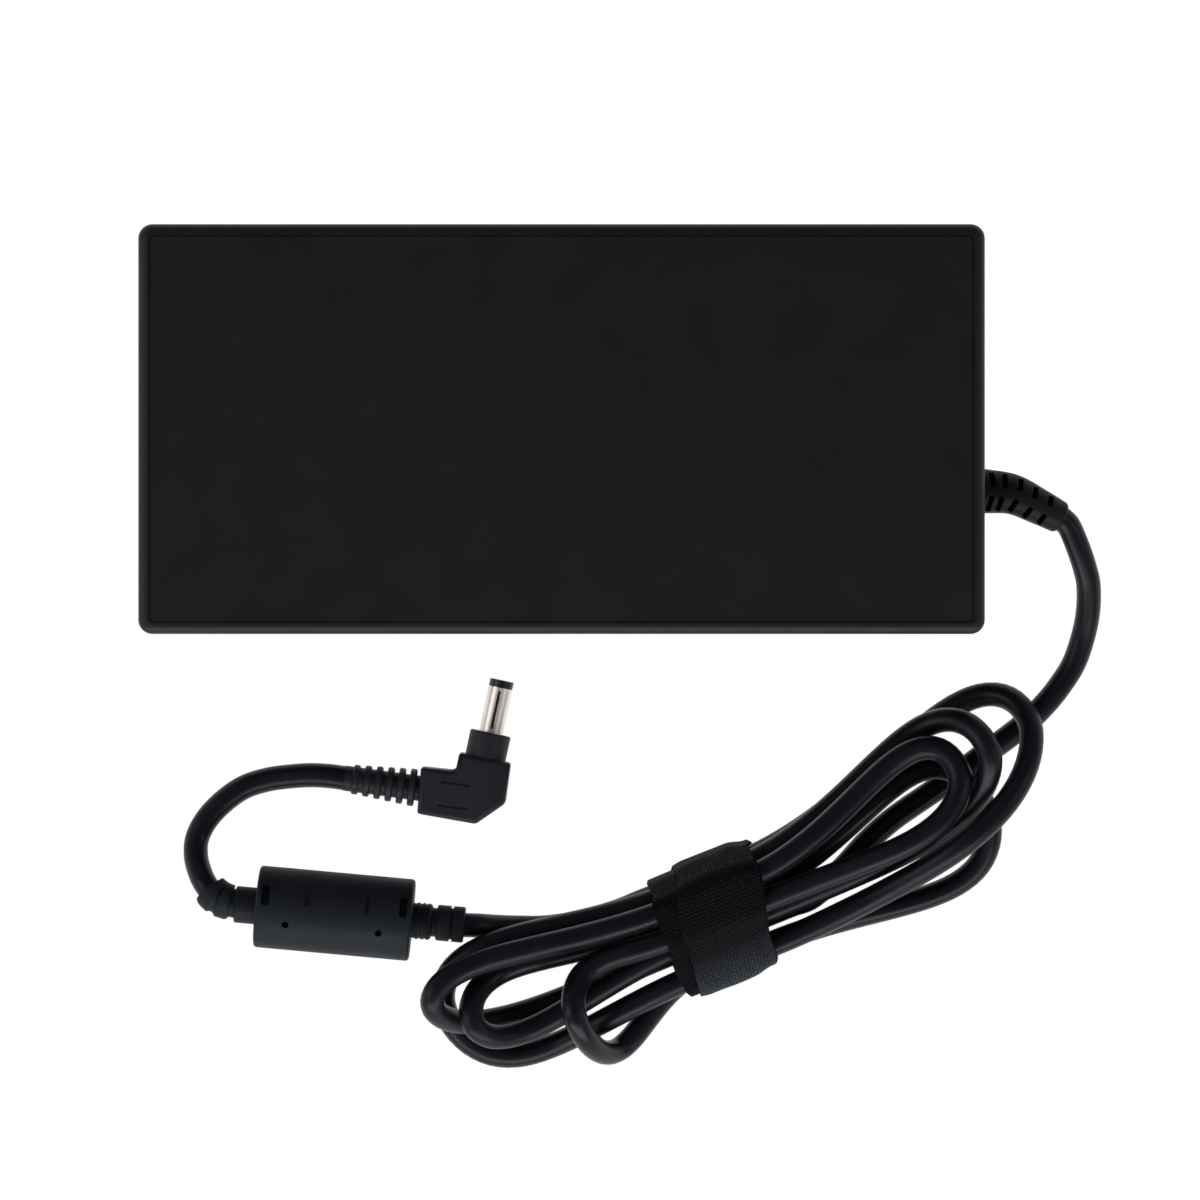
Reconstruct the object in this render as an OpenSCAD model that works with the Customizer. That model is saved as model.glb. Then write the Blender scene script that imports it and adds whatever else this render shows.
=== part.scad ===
// Laptop power adapter: a flat moulded brick with its DC lead folded into a hank,
// a ferrite bead on the lead and a right-angle barrel plug on its end.
// +X runs to the end where the DC lead leaves, +Z is up, the origin is on the
// surface under the middle of the brick. Millimetres.

/* [Housing] */
// Length of the brick along X
body_l = 190; // [184:1:210]
// Width of the brick along Y
body_w = 92; // [90:1:104]
// Height of the moulded housing, without its feet
body_h = 34; // [33:0.5:40]
// Wall thickness of both covers
wall = 2.4; // [2:0.1:2.8]
// Radius of the upright corners
corner_r = 3.2; // [2.6:0.1:6]
// Radius of the rounded rim at the top and at the bottom
rim_r = 2.3; // [1:0.1:2.4]
// Height of the bottom cover up to the parting line
split_h = 17; // [16.5:0.25:17.5]
// Height of the tongue that keys the covers together
tongue_h = 2; // [1.2:0.1:3]
// Width and depth of the shadow line along the parting line
shadow_line = 0.4; // [0.2:0.1:0.6]
// Width of the fine line between the rim and the flat top
top_line_w = 0.4; // [0.3:0.1:0.8]
// Depth of the fine line between the rim and the flat top
top_line_d = 0.25; // [0.1:0.05:0.5]

/* [Feet] */
// How far the rubber feet stand below the housing
foot_h = 1; // [0.6:0.1:2]
// Length of a foot
foot_l = 16; // [10:1:24]
// Width of a foot
foot_w = 7; // [5:0.5:10]
// Distance of a foot's centre from the long side
foot_inset = 11; // [8:0.5:16]
// Depth of the recess that holds a foot
foot_recess = 0.6; // [0.3:0.1:1]

/* [Mains inlet] */
// Width of the three-pin inlet's cavity
inlet_cav_w = 24.6; // [24.2:0.1:25]
// Height of the inlet's cavity
inlet_cav_h = 17; // [16.6:0.1:17.4]
// Depth of the inlet's cavity
inlet_cav_d = 17; // [16:0.5:18]
// Chamfer on the two upper corners of the cavity
inlet_chamfer = 5; // [4:0.25:6]
// Wall of the inlet moulding
inlet_wall = 2; // [1.6:0.1:2.4]
// Length of the pins inside the cavity
pin_l = 15; // [14:0.5:15.5]
// Height of a flat pin
pin_h = 4; // [3.8:0.1:4.2]
// Thickness of a flat pin
pin_t = 2; // [1.8:0.1:2.2]
// Distance between the two outer pins
pin_pitch = 14; // [13.5:0.1:14.5]
// Offset of the earth pin above the outer pins
pin_rise = 4; // [3.8:0.1:4.2]
// Length of the tabs behind the inlet
tab_l = 5; // [3:0.5:7]

/* [Circuit board] */
// Gap between the board and the side walls
board_gap = 3.6; // [2.5:0.1:4]
// Length of the board
board_l = 152; // [151:0.5:154]
// Thickness of the board
board_t = 1.6; // [1:0.1:2]
// Height of the posts that carry the board
post_h = 4.4; // [3.6:0.1:5]
// Radius of a post
post_r = 2.5; // [2:0.1:3]
// Radius of the pin on top of a post
post_pin_r = 1.2; // [0.8:0.1:1.4]
// Thickness of the aluminium heat spreaders
spreader_t = 1; // [0.6:0.1:1.2]
// Thickness of the insulating sheets
sheet_t = 0.4; // [0.2:0.1:0.6]

/* [Components] */
// Height of the main transformer
transformer_h = 20; // [18:0.5:20.5]
// Side of the main transformer's square core
transformer_side = 33; // [28:0.5:33]
// Outer diameter of the power-factor inductor
inductor_d = 28; // [24:0.5:29]
// Height of the power-factor inductor
inductor_h = 15; // [10:0.5:18]
// Outer diameter of the mains filter chokes
choke_d = 22; // [18:0.5:23]
// Height of the mains filter chokes
choke_h = 13; // [9:0.5:16]
// Diameter of the storage capacitors
bulk_d = 17; // [14:0.5:17.5]
// Length of the storage capacitors
bulk_l = 36; // [30:0.5:37]
// Diameter of the output capacitors
out_cap_d = 10; // [8:0.5:10.5]
// Height of the output capacitors
out_cap_h = 18; // [14:0.5:20]
// Height of the heat sinks
sink_h = 19; // [17:0.5:20]
// Thickness of the heat sinks
sink_t = 2; // [1.5:0.1:2.5]

/* [DC lead] */
// Diameter of the lead
cord_d = 5.6; // [5:0.1:5.7]
// Distance of the lead's exit from the middle of the end wall
exit_y = -13.6; // [-20:0.2:-10]
// Diameter of the strain relief at the housing
relief_d = 10; // [9:0.1:11]
// Diameter of the strain relief at its tip
relief_tip_d = 7.4; // [7:0.1:8]
// Number of slots on each side of the strain relief
relief_slots = 5; // [3:1:5]
// Width of a slot in the strain relief
slot_w = 1.2; // [0.8:0.1:1.3]
// Thickness of the spine between the two rows of slots
spine_w = 2.2; // [1.6:0.1:3]
// Thickness of the flange that holds the strain relief in the wall
flange_t = 2; // [1.5:0.1:3]

/* [Hank] */
// Half the length along which the strands run together under the strap
waist_half = 11; // [10:0.5:12]
// Height of the lowest layer of strands under the strap
layer_z = 4.3; // [4.3:0.1:5]
// Height between two layers of strands under the strap
layer_step = 6.1; // [6.1:0.1:6.5]
// Width of the hook-and-loop strap
strap_w = 20; // [16:0.5:24]
// Thickness of one layer of the strap
strap_t = 1.1; // [0.8:0.1:1.1]
// How far the strap's under layer shows beside the outer one
strap_shift = 6.4; // [3:0.2:8]

/* [Ferrite bead] */
// Length of the moulded bead
bead_l = 35.6; // [30:0.2:40]
// Diameter of the moulded bead
bead_d = 18.7; // [18.2:0.1:19]
// Diameter of the ferrite core inside
core_d = 15.5; // [13:0.1:16]
// Length of the ferrite core
core_l = 28.5; // [24:0.5:29]
// Diameter of the necks at both ends of the bead
neck_d = 8.4; // [8:0.1:9]

/* [Plug] */
// Outer diameter of the barrel
barrel_d = 5.5; // [5.3:0.1:5.6]
// Bore of the barrel's inner contact
barrel_bore = 2.5; // [2:0.1:2.6]
// Length of the barrel with its tip
barrel_l = 12.3; // [9:0.1:13]
// Length of the black insulating tip
barrel_tip_l = 1.7; // [1:0.1:2.2]
// Wall of the outer sleeve
sleeve_t = 0.4; // [0.3:0.05:0.45]
// Thickness of the plug's moulding
plug_t = 10.4; // [10:0.1:10.8]
// Diameter of the plug's collar
collar_d = 9.4; // [8.8:0.1:9.8]
// Length of the plug's collar
collar_l = 6.2; // [5.4:0.1:7]
// Number of rings on the plug's strain relief
plug_rings = 6; // [4:1:6]
// Pitch of the rings on the plug's strain relief
ring_pitch = 2.6; // [2.4:0.1:2.8]

/* [Hidden] */
$fn = 40;

fit = 0.15;      // clearance round pieces that slot together
eps = 0.01;

// Housing levels
base_z = foot_h;
top_z = foot_h + body_h;
split_z = foot_h + split_h;
floor_z = base_z + wall;
roof_z = top_z - wall;
cav_l = body_l - 2 * wall;
cav_w = body_w - 2 * wall;
tongue_t = wall * 0.42;

// Inlet
inlet_x = -body_l / 2;
inlet_w = inlet_cav_w + 2 * inlet_wall;
inlet_h = inlet_cav_h + 2 * inlet_wall;
inlet_back = 3;
inlet_l = inlet_cav_d + inlet_back;
inlet_lip = 2;

// Board and what lies under and over it
board_z = floor_z + post_h;
board_w = cav_w - 2 * board_gap;
board_x = cav_l / 2 - board_gap - board_l;
part_z = board_z + board_t;
ceiling_z = roof_z - spreader_t - sheet_t;
post_at = [for (x = [6, 76, 146], y = [-1, 1]) [x, y * (board_w / 2 - 3.2)]];
sheet_gap = 0.5;

// Lead, strain relief and hank. A route point is a place of the lead's middle.
cord_r = cord_d / 2;
exit_x = body_l / 2;
relief_at = [[0, 0, 0], [7, -0.7, 0], [13, -3.4, -0.9], [17.4, -5.6, -2.2]];
lead_at = [
  [115.2, -21.4, 14.8], [116.6, -24.2, 13.9], [118, -27.6, 12.7], [119.2, -31, 11.3],
  [120.2, -35, 9.5], [120.3, -41, 7], [119.3, -47, 4.6], [117.3, -53, 3.3], [114.2, -58, 2.9],
  [111, -62, 2.9], [107, -66, 2.9], [102, -70, 2.9], [96.5, -74, 2.9], [90.5, -78.5, 2.9],
  [83.5, -83.3, 2.9], [76, -88.5, 2.9], [70, -93.8, 2.9], [64.4, -99.9, 3]
];
tail_at = [
  [4, -112.3, 3.2], [-4, -113.5, 2.9], [-10, -113.5, 3.6], [-15, -113.2, 6], [-19, -112.8, 8.4]
];
bead_bend_at = [[-77.4, -107, 9.3], [-79.8, -105.4, 9], [-81.6, -103.2, 8.3]];
plug_lead_at = [
  [-83, -100.5, 6.6], [-84, -97, 4.5], [-83.8, -93, 3.2], [-81.7, -88.8, 2.9], [-78, -84.8, 2.9],
  [-73.2, -81.4, 3], [-67.8, -79.6, 3.4], [-62.2, -78.8, 4.1], [-57.4, -78.5, 4.8]
];
plug_run = 3.2;   // the lead runs straight this far before it enters the plug

// The hank lies along its own axis: u along it, v across it.
hank_x = 36.2;
hank_y = -111;
hank_turn = 22;
hank_end = 16;

// Where each of the nine strands passes under the strap: v, and its layer
passes = [
  [-3.6, 0], [6.6, 2], [0.2, 2], [-10, 0], [2.6, 0], [-2.6, 1], [9.4, 1], [-10, 1], [10, 0]
];
// The eight loops, in the order in which the lead makes them:
// side, reach, v of the tip, bulge of the first and of the last strand,
// height of the first strand, lift of the tip, height of the last strand
loops = [
  [-1, 68, 6, -5.5, 5.5, 4.5, 7, 19],
  [1, 62.5, 11.5, 9, -6.5, 16, 1, 20.5],
  [-1, 39, -9, 6.5, -10, 15, 11, 6],
  [1, 65.5, 0, -10, 13.5, 3, 1.5, 9.5],
  [-1, 61, -0.5, 7, -6, 9.5, 7.5, 10.5],
  [1, 70.5, 13.5, -7.5, 11, 11.5, 10.5, 10],
  [-1, 66.5, 3, 9, -11, 12, -3, 3],
  [1, 82, 16, -8.5, 10.5, 20, 0, 3]
];
loop_rings = 24;
tip_round = 0.6;
settle = 0.18;

// Bead: it lies on the surface, turned a little
bead_at = [-52, -109.9, bead_d / 2];
bead_turn = -5.2;

// Plug: its barrel's foot, and the direction in which the barrel points
plug_at = [-16.4, -68.8, plug_t / 2];
plug_turn = -12.2;

// ---------------------------------------------------------------- helpers

// Rounded rectangle, centred
module slab(l, w, r) {
  square([l - 2 * r, w], center = true);
  square([l, w - 2 * r], center = true);
  for (x = [-1, 1], y = [-1, 1]) translate([x * (l / 2 - r), y * (w / 2 - r)]) circle(r);
}

module bar(l, w, r, h) linear_extrude(h) slab(l, w, r);

// Section of one half of the housing at its rim: r is the width, the rim is at r, 0
module rim_section(r, h) {
  translate([0, rim_r]) square([r, h - rim_r]);
  square([r - rim_r, h]);
  intersection() {
    translate([r - rim_r, rim_r]) circle(rim_r);
    square([r, h]);
  }
}

// One half of the housing, its flat face down, open side up, rim rounded:
// a long middle, an end on each side, and the four corners, which meet face to face
module half_body(h) {
  mid_l = body_l - 2 * corner_r;
  mid_w = body_w - 2 * corner_r;
  translate([-mid_l / 2, 0, 0]) rotate([90, 0, 90]) linear_extrude(mid_l) {
    rim_section(body_w / 2, h);
    mirror([1, 0]) rim_section(body_w / 2, h);
  }
  for (a = [0, 180]) rotate([0, 0, a])
    translate([mid_l / 2, mid_w / 2, 0]) rotate([90, 0, 0]) linear_extrude(mid_w) rim_section(corner_r, h);
  for (q = [[1, 1, 0], [-1, 1, 90], [-1, -1, 180], [1, -1, 270]])
    translate([q[0] * mid_l / 2, q[1] * mid_w / 2, 0]) rotate([0, 0, q[2]])
      rotate_extrude(angle = 90) rim_section(corner_r, h);
}

module on_board(x, y) translate([board_x + x, y, part_z]) children();

module box_on_board(x, y, size) on_board(x, y) translate([-size[0] / 2, -size[1] / 2, 0]) cube(size);

// Curve through given points, with a few steps between two of them
function curve_at(a, b, c, d, t) =
  0.5 * (2 * b + (c - a) * t + (2 * a - 5 * b + 4 * c - d) * t * t
         + (3 * b - a - 3 * c + d) * t * t * t);
function smooth(p, steps) = [
  for (i = [0 : len(p) - 2], s = [0 : steps - 1])
    curve_at(i > 0 ? p[i - 1] : 2 * p[0] - p[1], p[i], p[i + 1],
             i + 2 < len(p) ? p[i + 2] : 2 * p[i + 1] - p[i], s / steps),
  p[len(p) - 1]
];

// Tube swept along points, each with its own radius
function heading(p, i) =
  let (d = p[min(i + 1, len(p) - 1)] - p[max(i - 1, 0)]) d / norm(d);
function ring(c, dir, r, sides) =
  let (side = cross(dir, [0, 0, 1]) / norm(cross(dir, [0, 0, 1])), up = cross(side, dir))
  [for (k = [0 : sides - 1]) c + r * (cos(360 * k / sides) * side + sin(360 * k / sides) * up)];
module sweep(p, radii, sides) {
  n = len(p);
  rings = [for (i = [0 : n - 1]) each ring(p[i], heading(p, i), radii[i], sides)];
  last = n * sides;
  polyhedron(
    points = concat(rings, [p[0], p[n - 1]]),
    faces = [
      for (i = [0 : n - 2], k = [0 : sides - 1])
        let (a = i * sides + k, b = i * sides + (k + 1) % sides)
        each [[a, b, a + sides], [b, b + sides, a + sides]],
      for (k = [0 : sides - 1]) [(k + 1) % sides, k, last],
      for (k = [0 : sides - 1])
        let (e = (n - 1) * sides) [e + k, e + (k + 1) % sides, last + 1]
    ]);
}
module tube(p, d, sides) sweep(p, [for (q = p) d / 2], sides);

// Hollow tube along points: its outer radii, and one bore
module sleeve(p, radii, bore, sides) {
  n = len(p);
  m = n * sides;
  e = m - sides;
  polyhedron(
    points = concat(
      [for (i = [0 : n - 1]) each ring(p[i], heading(p, i), radii[i], sides)],
      [for (i = [0 : n - 1]) each ring(p[i], heading(p, i), bore, sides)]),
    faces = [
      for (i = [0 : n - 2], k = [0 : sides - 1])
        let (a = i * sides + k, b = i * sides + (k + 1) % sides, c = a + sides, d = b + sides)
        each [[a, b, c], [b, d, c], [m + b, m + a, m + c], [m + d, m + b, m + c]],
      for (k = [0 : sides - 1])
        let (a = k, b = (k + 1) % sides)
        each [[b, a, m + a], [b, m + a, m + b], [e + a, e + b, m + e + b], [e + a, m + e + b, m + e + a]]
    ]);
}

// ---------------------------------------------------------------- housing

module inlet_opening() {
  translate([inlet_x - eps, 0, split_z])
    rotate([90, 0, 90]) bar(inlet_w + 2 * fit, inlet_h + 2 * fit, 1 + fit, wall + 2 * eps);
}

module relief_opening() {
  translate([exit_x - wall - 1, exit_y, split_z])
    rotate([0, 90, 0]) cylinder(h = wall + 2, r = relief_d / 2 + fit);
}

module feet_places() {
  for (x = [-1, 1], y = [-1, 1])
    translate([x * (body_l / 2 - foot_inset - foot_l / 2), y * (body_w / 2 - foot_inset), 0])
      children();
}

module bottom_cover() {
  color("#1b1b1d") difference() {
    union() {
      difference() {
        translate([0, 0, base_z]) half_body(split_h);
        translate([0, 0, floor_z]) bar(cav_l, cav_w, 1.2, split_h);
      }
      translate([0, 0, split_z - 1]) difference() {
        bar(cav_l + 2 * tongue_t, cav_w + 2 * tongue_t, corner_r - fit, tongue_h + 1);
        translate([0, 0, -1]) bar(cav_l, cav_w, 1.2, tongue_h + 3);
      }
      for (p = post_at) translate([board_x + p[0], p[1], floor_z - eps]) {
        cylinder(h = post_h + eps, r = post_r);
        cylinder(h = post_h + board_t + eps, r = post_pin_r);
      }
    }
    inlet_opening();
    relief_opening();
    feet_places()
      translate([0, 0, base_z - eps]) bar(foot_l + 2 * fit, foot_w + 2 * fit, foot_w / 2, foot_recess + eps);
  }
}

module top_cover() {
  color("#1c1c1e") difference() {
    union() {
      translate([0, 0, top_z]) rotate([180, 0, 0]) half_body(body_h - split_h - shadow_line);
      translate([0, 0, split_z])
        bar(body_l - 2 * shadow_line, body_w - 2 * shadow_line, corner_r - shadow_line, shadow_line + 1);
    }
    translate([0, 0, split_z - eps]) bar(cav_l, cav_w, 1.2, roof_z - split_z + eps);
    translate([0, 0, split_z - eps])
      bar(cav_l + 2 * (tongue_t + fit), cav_w + 2 * (tongue_t + fit), corner_r, tongue_h + fit + eps);
    translate([0, 0, top_z - top_line_d]) difference() {
      bar(body_l - 2 * rim_r - 0.4, body_w - 2 * rim_r - 0.4, 1.4, 1);
      translate([0, 0, -1])
        bar(body_l - 2 * rim_r - 0.4 - 2 * top_line_w, body_w - 2 * rim_r - 0.4 - 2 * top_line_w, 1, 3);
    }
    inlet_opening();
    relief_opening();
  }
}

module rubber_feet() {
  color("#0e0e0f") feet_places() bar(foot_l, foot_w, foot_w / 2 - fit, foot_h + foot_recess);
}

// ---------------------------------------------------------------- mains inlet

module inlet_cavity_outline() {
  w = inlet_cav_w / 2;
  h = inlet_cav_h / 2;
  polygon([[-w, -h], [w, -h], [w, h - inlet_chamfer], [w - inlet_chamfer, h],
           [inlet_chamfer - w, h], [-w, h - inlet_chamfer]]);
}

// The inlet's own frame: its mouth faces -X, local z is depth
module at_inlet() translate([inlet_x, 0, split_z]) rotate([90, 0, 90]) children();

module pin_places() {
  for (p = [[-pin_pitch / 2, -pin_rise / 2], [pin_pitch / 2, -pin_rise / 2], [0, pin_rise / 2]])
    translate(p) children();
}

module ac_inlet_housing() {
  color("#141414") at_inlet() difference() {
    union() {
      bar(inlet_w, inlet_h, 1, inlet_l);
      translate([0, 0, wall]) bar(inlet_w + 2 * inlet_lip, inlet_h + 2 * inlet_lip, 1.5, 1.6);
    }
    translate([0, 0, -eps]) linear_extrude(inlet_cav_d + eps) inlet_cavity_outline();
    translate([0, 0, inlet_cav_d - 1])
      linear_extrude(inlet_back + 2) pin_places() square([pin_t, pin_h], center = true);
  }
}

module ac_inlet_pins() {
  color("#b9bcc0") at_inlet() {
    translate([0, 0, inlet_cav_d - pin_l])
      linear_extrude(pin_l + inlet_back + tab_l)
        pin_places() square([pin_t - 0.02, pin_h - 0.02], center = true);
  }
}

module inlet_wires() {
  y_at = [-pin_pitch / 2, pin_pitch / 2, 0];
  z_at = [-pin_rise / 2, -pin_rise / 2, pin_rise / 2];
  hue = ["#5a3a22", "#2f4f9a", "#5f8f2f"];
  for (i = [0 : 2]) {
    x0 = inlet_x + inlet_l + tab_l;
    z0 = split_z + z_at[i];
    x1 = board_x + 3.5;
    z1 = part_z + 0.9;
    color(hue[i]) tube(smooth([[x0, y_at[i], z0], [x0 + 2.6, y_at[i], z0 - 0.8],
                               [(x0 + x1) / 2, y_at[i], (z0 + z1) / 2],
                               [x1 - 2.6, y_at[i], z1 + 0.8], [x1, y_at[i], z1]], 2), 1.8, 8);
  }
}

// ---------------------------------------------------------------- board and heat path

module main_board() {
  color("#2c5a36") translate([board_x, -board_w / 2, board_z]) difference() {
    cube([board_l, board_w, board_t]);
    for (p = post_at) translate([p[0], p[1] + board_w / 2, -1])
      cylinder(h = board_t + 2, r = post_pin_r + fit);
  }
}

module sheet(z, t, hue, posts) {
  color(hue) translate([0, 0, z]) difference() {
    bar(cav_l - 2 * sheet_gap, cav_w - 2 * sheet_gap, 1, t);
    if (posts) for (p = post_at) translate([board_x + p[0], p[1], -1])
      cylinder(h = t + 2, r = post_r + 2 * fit);
  }
}
module lower_heat_spreader() sheet(floor_z, spreader_t, "#b5b7ba", true);
module lower_insulator() sheet(floor_z + spreader_t, sheet_t, "#d9d3c0", true);
module upper_heat_spreader() sheet(roof_z - spreader_t, spreader_t, "#b5b7ba", false);
module upper_insulator() sheet(ceiling_z, sheet_t, "#d9d3c0", false);

sink_top = part_z + sink_h;
module thermal_pads() {
  color("#8aa0b8") {
    on_board(102, 20) translate([-12, -12, transformer_h]) cube([24, 24, ceiling_z - part_z - transformer_h]);
    on_board(57, -14) translate([-1, -20, sink_h]) cube([8, 40, ceiling_z - sink_top]);
    on_board(125, -8) translate([-1, -26, sink_h]) cube([8, 52, ceiling_z - sink_top]);
  }
}

// ---------------------------------------------------------------- mains side

module line_fuse() {
  color("#c9c2b4") on_board(14, -32) translate([-10, 0, 2.6]) rotate([0, 90, 0]) {
    cylinder(h = 20, r = 2.3);
    for (x = [0, 15]) translate([0, 0, x]) cylinder(h = 5, r = 2.6);
  }
}

module upright_disc(d, t) translate([0, t / 2, d / 2]) rotate([90, 0, 0]) cylinder(h = t, d = d);

module inrush_thermistor() color("#1f2a22") on_board(42, 30) upright_disc(13, 5);

module y_capacitors() {
  color("#2d6bb0") for (p = [[8, 33], [42, 18], [112, -2]]) on_board(p[0], p[1]) upright_disc(8, 4);
}

module x_capacitors() {
  color("#c79a2e") {
    box_on_board(9, 12, [8.5, 18, 15]);
    box_on_board(41, -31, [18, 8.5, 15]);
  }
}

module torus_core(d, h, bore) {
  difference() {
    cylinder(h = h, d = d);
    translate([0, 0, -1]) cylinder(h = h + 2, d = bore);
  }
}

// Wire wound over a ring core: two banks, each a bent shell round the core's section
module torus_winding(d, h, bore, cover, arc) {
  for (a = [0, 180]) rotate([0, 0, a - arc / 2]) rotate_extrude(angle = arc) difference() {
    translate([bore / 2 - cover, -cover]) square([(d - bore) / 2 + 2 * cover, h + 2 * cover]);
    translate([bore / 2 - fit, -fit]) square([(d - bore) / 2 + 2 * fit, h + 2 * fit]);
  }
}

wire_cover = 1.4;
choke_at = [[27, 14], [27, -12]];
module filter_choke_cores() {
  color("#4b6b3c") for (p = choke_at) on_board(p[0], p[1])
    translate([0, 0, wire_cover]) torus_core(choke_d - 2 * wire_cover, choke_h - 2 * wire_cover, 10);
}
module filter_choke_windings() {
  color("#b0672a") for (p = choke_at) on_board(p[0], p[1])
    translate([0, 0, wire_cover])
      torus_winding(choke_d - 2 * wire_cover, choke_h - 2 * wire_cover, 10, wire_cover, 130);
}

module bridge_rectifier() color("#1a1a1a") box_on_board(57 - 2.3, -8, [4.6, 22, 17]);

module heatsink(x, y, w) {
  color("#a9acb0") on_board(x, y) {
    translate([0, -w / 2, 0]) cube([sink_t, w, sink_h]);
    translate([0, -w / 2, sink_h - 1.5]) cube([6, w, 1.5]);
  }
}
module primary_heatsink() heatsink(57, -14, 44);
module secondary_heatsink() heatsink(125, -8, 60);

module transistor_on_sink(y) {
  translate([0, y - 5, 1]) cube([4.5, 10, 15]);
}
module power_transistors() {
  color("#202022") on_board(57 + sink_t, 0) for (y = [-29, -15, -1]) transistor_on_sink(y);
}
module output_rectifiers() {
  color("#202022") on_board(125 - 4.5, 0) for (y = [-30, -16]) transistor_on_sink(y);
}

module inductor_core() {
  color("#3a3f45") on_board(68, 22)
    translate([0, 0, wire_cover]) torus_core(inductor_d - 2 * wire_cover, inductor_h - 2 * wire_cover, 13);
}
module inductor_winding() {
  color("#b0672a") on_board(68, 22)
    translate([0, 0, wire_cover])
      torus_winding(inductor_d - 2 * wire_cover, inductor_h - 2 * wire_cover, 13, wire_cover, 172);
}

module bulk_capacitors() {
  color("#26262b") for (y = [-29, -10]) on_board(84, y)
    translate([-bulk_l / 2, 0, bulk_d / 2]) rotate([0, 90, 0]) cylinder(h = bulk_l, d = bulk_d);
}

// ---------------------------------------------------------------- output side

transformer_post_d = 12;
window = 7;
module transformer_core() {
  s = transformer_side;
  color("#2b2b2e") on_board(102, 20) difference() {
    translate([-s / 2, -s / 2, 0]) cube([s, s, transformer_h]);
    translate([0, 0, 3.5]) difference() {
      union() {
        cylinder(h = transformer_h - 7, d = transformer_post_d + 2 * window);
        translate([-transformer_post_d / 2, -s, 0]) cube([transformer_post_d, 2 * s, transformer_h - 7]);
      }
      translate([0, 0, -1]) cylinder(h = transformer_h, d = transformer_post_d);
    }
  }
}
module transformer_winding() {
  color("#e0b53a") on_board(102, 20) translate([0, 0, 3.5 + fit]) difference() {
    cylinder(h = transformer_h - 7 - 2 * fit, d = transformer_post_d + 2 * window - 2 * fit);
    translate([0, 0, -1]) cylinder(h = transformer_h, d = transformer_post_d + 2 * fit);
  }
}

module control_board() {
  color("#235a3a") on_board(72, 1) cube([40, 1.2, 17]);
  color("#151515") on_board(72, 1) for (x = [6, 20, 31]) translate([x, -1.4, 5]) cube([6, 1.4 + eps, 5]);
}

module optocouplers() {
  color("#e6e3da") for (y = [-29, -17]) box_on_board(111, y, [6.5, 4.6, 3.6]);
}

module output_capacitors() {
  color("#1f3a5a") for (p = [[134, -33], [134, -21.5], [134, 16], [134, 28]])
    on_board(p[0], p[1]) cylinder(h = out_cap_h, d = out_cap_d);
}

module output_choke() {
  color("#6b4a2a") on_board(138, 1) torus_core(16, 9, 7);
}

// Two insulated wires from the board up to the strain relief's inner end
module output_wires() {
  hue = ["#a02020", "#202020"];
  for (i = [0, 1]) {
    y1 = exit_y + (i == 0 ? 1.7 : -1.7);
    x1 = exit_x - wall - flange_t;
    x0 = board_x + 142;
    z0 = part_z + 1.1;
    color(hue[i]) tube(smooth([[x0, y1, z0], [x0 + 1.6, y1, z0],
                               [(x0 + x1) / 2 + 0.6, y1, (z0 + split_z) / 2],
                               [x1 - 1.6, y1, split_z], [x1, y1, split_z]], 2), 2.2, 8);
  }
}

// ---------------------------------------------------------------- DC lead

relief_path = smooth([for (p = relief_at) [exit_x, exit_y, split_z] + p], 4);
relief_step = 1.54;   // mean distance between the points of its path
upper_slots = [2, 4.6, 8.3, 11.9, 15.5];
lower_slots = [1.5, 3.6, 7.1, 10.5, 14];
slot_lean = 12.5;
slot_floor = 0.8;     // the slots end this far from the mid plane
function relief_r(i) = (relief_d + (relief_tip_d - relief_d) * i / (len(relief_path) - 1)) / 2;

module cord_strain_relief() {
  n = len(relief_path);
  p = relief_path;
  tip = p[n - 1] + heading(p, n - 1) * 1.2;
  color("#161617") {
    difference() {
      sweep(concat(p, [tip]), concat([for (i = [0 : n - 1]) relief_r(i)], [relief_tip_d / 2 - 0.6]), 20);
      for (k = [0 : relief_slots - 1]) {
        relief_pocket(upper_slots[k], 1, -slot_lean, 0.6);
        relief_pocket(lower_slots[k], -1, slot_lean, 0.3);
      }
    }
    translate([exit_x - wall - flange_t, exit_y, split_z]) rotate([0, 90, 0]) {
      cylinder(h = wall + flange_t + eps, r = relief_d / 2);
      cylinder(h = flange_t - fit, r = relief_d / 2 + 2);
    }
  }
}

// A slot beside the spine, on top and underneath: its distance from the housing, its row,
// its lean, and the skin left between it and the relief's edge
module relief_pocket(distance, row, lean, skin) {
  s = distance / relief_step;
  i = floor(s);
  c = relief_path[i] + (relief_path[i + 1] - relief_path[i]) * (s - i);
  d = heading(relief_path, i);
  reach = relief_r(i) - skin;
  l = reach - spine_w / 2;
  for (side = [1, -1])
    translate(c) rotate([0, 0, atan2(d[1], d[0]) + lean])
      translate([0, row * (spine_w / 2 + l / 2), side * (slot_floor + 3.5)])
        cube([slot_w, l, 7], center = true);
}

// From the hank's own frame to the part's
function hank_place(p) = [
  hank_x + p[0] * cos(hank_turn) - p[1] * sin(hank_turn),
  hank_y + p[0] * sin(hank_turn) + p[1] * cos(hank_turn),
  p[2]
];
function pass_v(k) = passes[k][0];
function pass_z(k) = layer_z + layer_step * passes[k][1];
function ease(x) = (1 - cos(180 * x)) / 2;

// Height of a loop's strand: from its layer under the strap to its own height,
// over the tip, and back to the next layer
function strand_z(z0, z1, lift, z2, z3, t) =
  t < settle ? z0 + (z1 - z0) * ease(t / settle) :
  t > 1 - settle ? z3 + (z2 - z3) * ease((1 - t) / settle) :
  let (m = (t - settle) / (1 - 2 * settle))
  z1 + (z2 - z1) * ease(m) + lift * ease(m < 0.5 ? 2 * m : 2 - 2 * m);

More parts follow.
